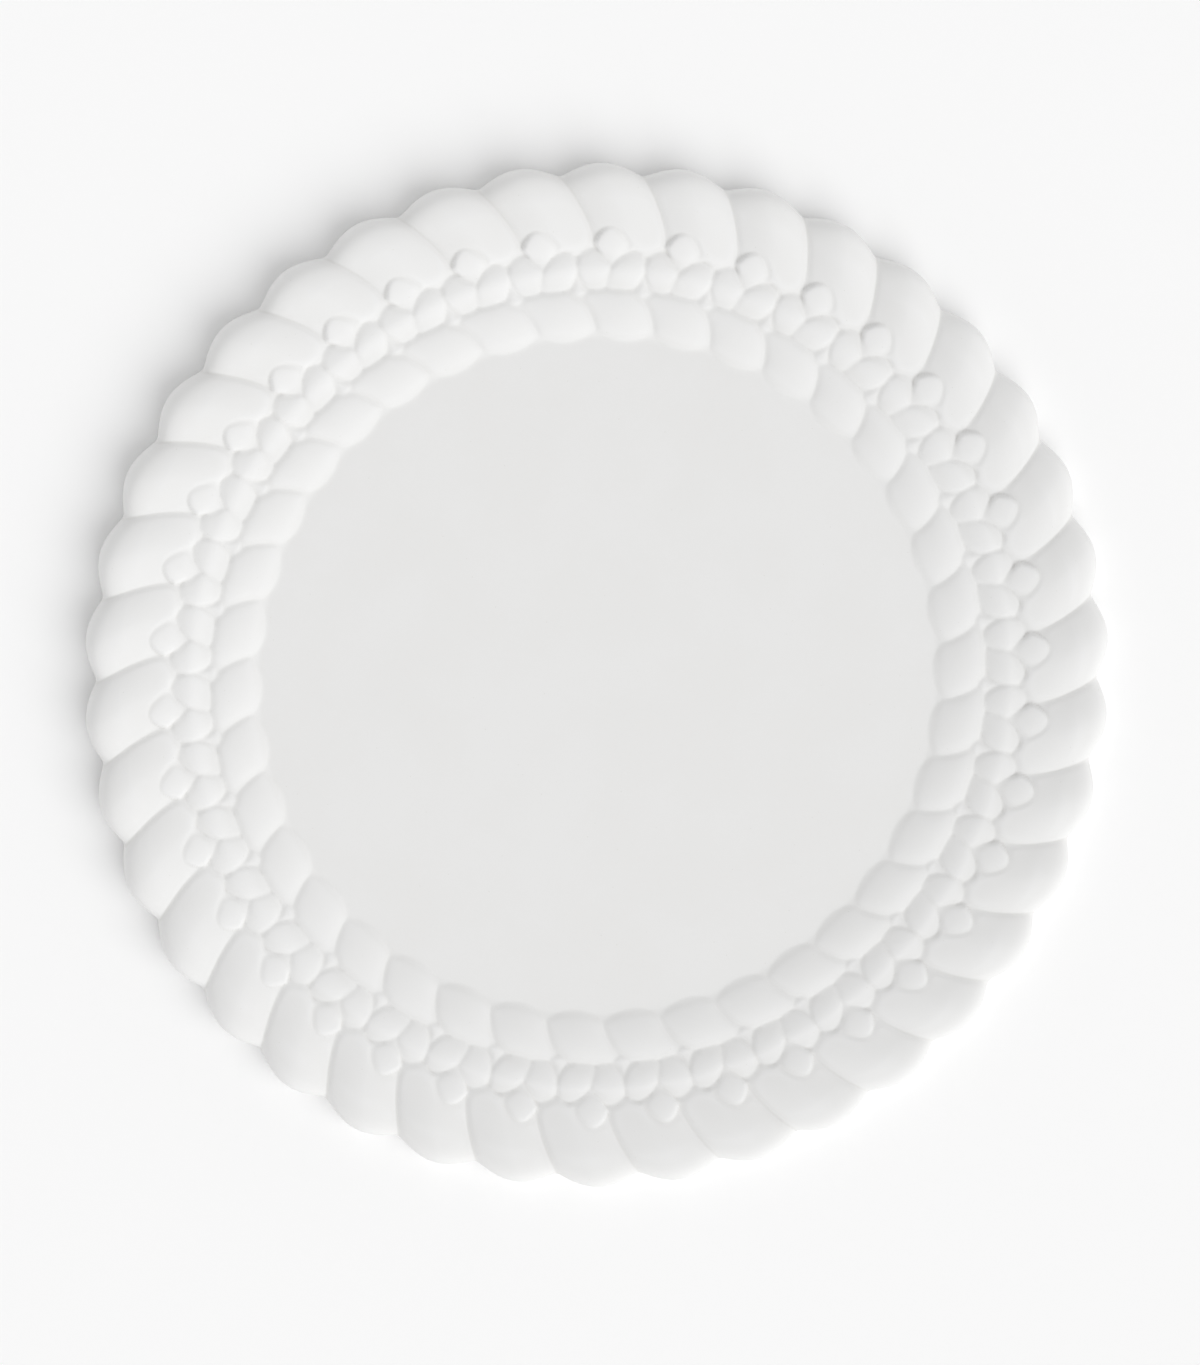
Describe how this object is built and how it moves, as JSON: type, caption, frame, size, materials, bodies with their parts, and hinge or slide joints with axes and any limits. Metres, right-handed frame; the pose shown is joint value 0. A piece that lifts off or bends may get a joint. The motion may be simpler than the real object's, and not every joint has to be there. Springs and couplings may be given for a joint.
{
  "type": "ceiling rose",
  "caption": "Round plaster ceiling rose with a gadrooned scalloped rim, a husk band, a laurel ring and a plain centre panel, stiffened behind with timber laths and hessian scrim.",
  "frame": {"origin": "middle of the flat back, on the ceiling plane that the rim and the hub ring lie against", "axes": "+Z out of the decorated face, away from the ceiling; +X and +Y in the ceiling plane, +X through a valley of the scalloped outline. The part lies on its back, and is turned over to go under a ceiling"},
  "size_m": [0.5986, 0.6, 0.0302],
  "materials": {
    "plaster": "matte",
    "timber": "matte",
    "hessian": "matte"
  },
  "bodies": {
    "root": {"rose_casting": "plaster", "backing_scrim": "hessian", "channel_scrim": "hessian", "rim_lath_1": "timber", "rim_lath_2": "timber", "rim_lath_3": "timber", "rim_lath_4": "timber", "rim_lath_5": "timber", "rim_lath_6": "timber", "rim_lath_7": "timber", "rim_lath_8": "timber", "scrim_strap_1a": "hessian", "scrim_strap_1b": "hessian", "scrim_strap_2a": "hessian", "scrim_strap_2b": "hessian", "scrim_strap_3a": "hessian", "scrim_strap_3b": "hessian", "scrim_strap_4a": "hessian", "scrim_strap_4b": "hessian", "scrim_strap_5a": "hessian", "scrim_strap_5b": "hessian", "scrim_strap_6a": "hessian", "scrim_strap_6b": "hessian", "scrim_strap_7a": "hessian", "scrim_strap_7b": "hessian", "scrim_strap_8a": "hessian", "scrim_strap_8b": "hessian"}
  },
  "joints": []
}
